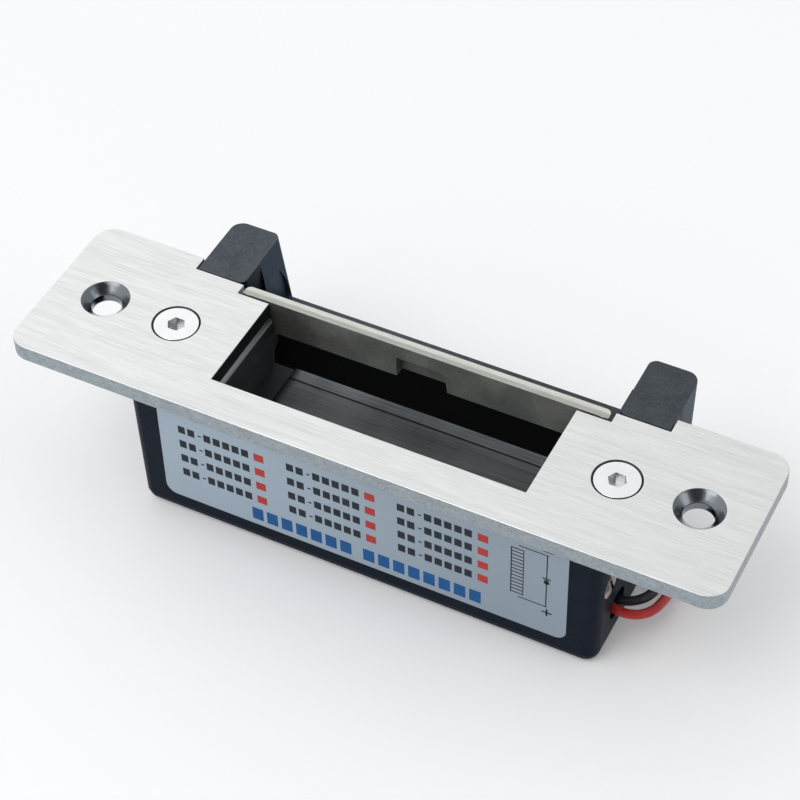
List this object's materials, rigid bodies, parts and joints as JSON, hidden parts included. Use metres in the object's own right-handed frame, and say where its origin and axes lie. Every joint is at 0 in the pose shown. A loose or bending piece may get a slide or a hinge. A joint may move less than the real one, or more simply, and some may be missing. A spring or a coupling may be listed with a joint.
{
  "type": "electric door strike",
  "caption": "Electric door strike: steel faceplate on a black cast body with two horns, a swinging keeper, a solenoid lock and flying leads.",
  "frame": {"origin": "midway between the two mounting holes, on the front face of the faceplate", "axes": "+X along the faceplate, +Y across it towards the keeper and the horns, +Z out of the faceplate"},
  "size_m": [0.124, 0.0482, 0.032],
  "materials": {
    "faceplate": "brushed lengthwise",
    "faceplate_screws": "polished",
    "housing": "satin black",
    "pocket_floor": "brushed lengthwise",
    "bottom_cover": "satin black",
    "cover_screws": "zinc plated",
    "end_screw": "nickel plated",
    "product_label": "satin foil",
    "hinge_pins": "ground",
    "keeper": "cast steel, top edge ground bright",
    "keeper_spring": "spring wire",
    "solenoid_frame": "zinc plated",
    "coil_bobbin": "natural",
    "coil_winding": "enamelled copper wire",
    "coil_tape": "film tape",
    "fixed_core": "turned",
    "plunger": "turned",
    "plunger_pin": "ground",
    "plunger_spring": "spring wire",
    "lock_lever": "hardened, yellow zinc",
    "lever_post": "ground",
    "lever_clip": "blackened",
    "suppression_diode": "moulded",
    "splice_sleeves": "heat-shrink",
    "lead_red": "insulation",
    "lead_black": "insulation",
    "lead_hank": "insulation",
    "lead_tie": "plastic-covered wire",
    "lead_tips": "tinned strands"
  },
  "bodies": {
    "body": {"housing": "housing", "faceplate": "faceplate", "faceplate_screws": "faceplate_screws", "pocket_floor": "pocket_floor", "bottom_cover": "bottom_cover", "cover_screws": "cover_screws", "end_screw": "end_screw", "product_label": "product_label", "hinge_pins": "hinge_pins", "solenoid_frame": "solenoid_frame", "coil_bobbin": "coil_bobbin", "coil_winding": "coil_winding", "coil_tape": "coil_tape", "fixed_core": "fixed_core", "lever_post": "lever_post", "lever_clip": "lever_clip", "suppression_diode": "suppression_diode", "splice_sleeves": "splice_sleeves", "lead_red": "lead_red", "lead_black": "lead_black", "lead_hank": "lead_hank", "lead_tie": "lead_tie", "lead_tips": "lead_tips", "plunger_spring": "plunger_spring", "keeper_spring": "keeper_spring"},
    "keeper": {"keeper": "keeper"},
    "plunger": {"plunger": "plunger", "plunger_pin": "plunger_pin"},
    "lever": {"lock_lever": "lock_lever"}
  },
  "joints": [
    {"name": "keeper_swing", "type": "hinge", "parent": "body", "child": "keeper", "pos_m": [0, 0.0122, -0.0122], "axis": [-1, 0, 0], "range_deg": [0, 80], "stiffness_Nm_per_rad": 0.004, "springref_deg": -22.92, "deforming": ["keeper_spring"]},
    {"name": "plunger_slide", "type": "slide", "parent": "body", "child": "plunger", "axis": [1, 0, 0], "range_m": [0, 0.0026], "stiffness_N_per_m": 120, "springref_m": -0.003, "deforming": ["plunger_spring"]},
    {"name": "lever_swing", "type": "hinge", "parent": "body", "child": "lever", "pos_m": [-0.022, 0.00367, -0.0182], "axis": [0, 0, 1], "range_deg": [0, 23.5]}
  ],
  "couplings": [
    {"joint": "lever_swing", "follows": "plunger_slide", "rad_per_m": 157.75}
  ]
}
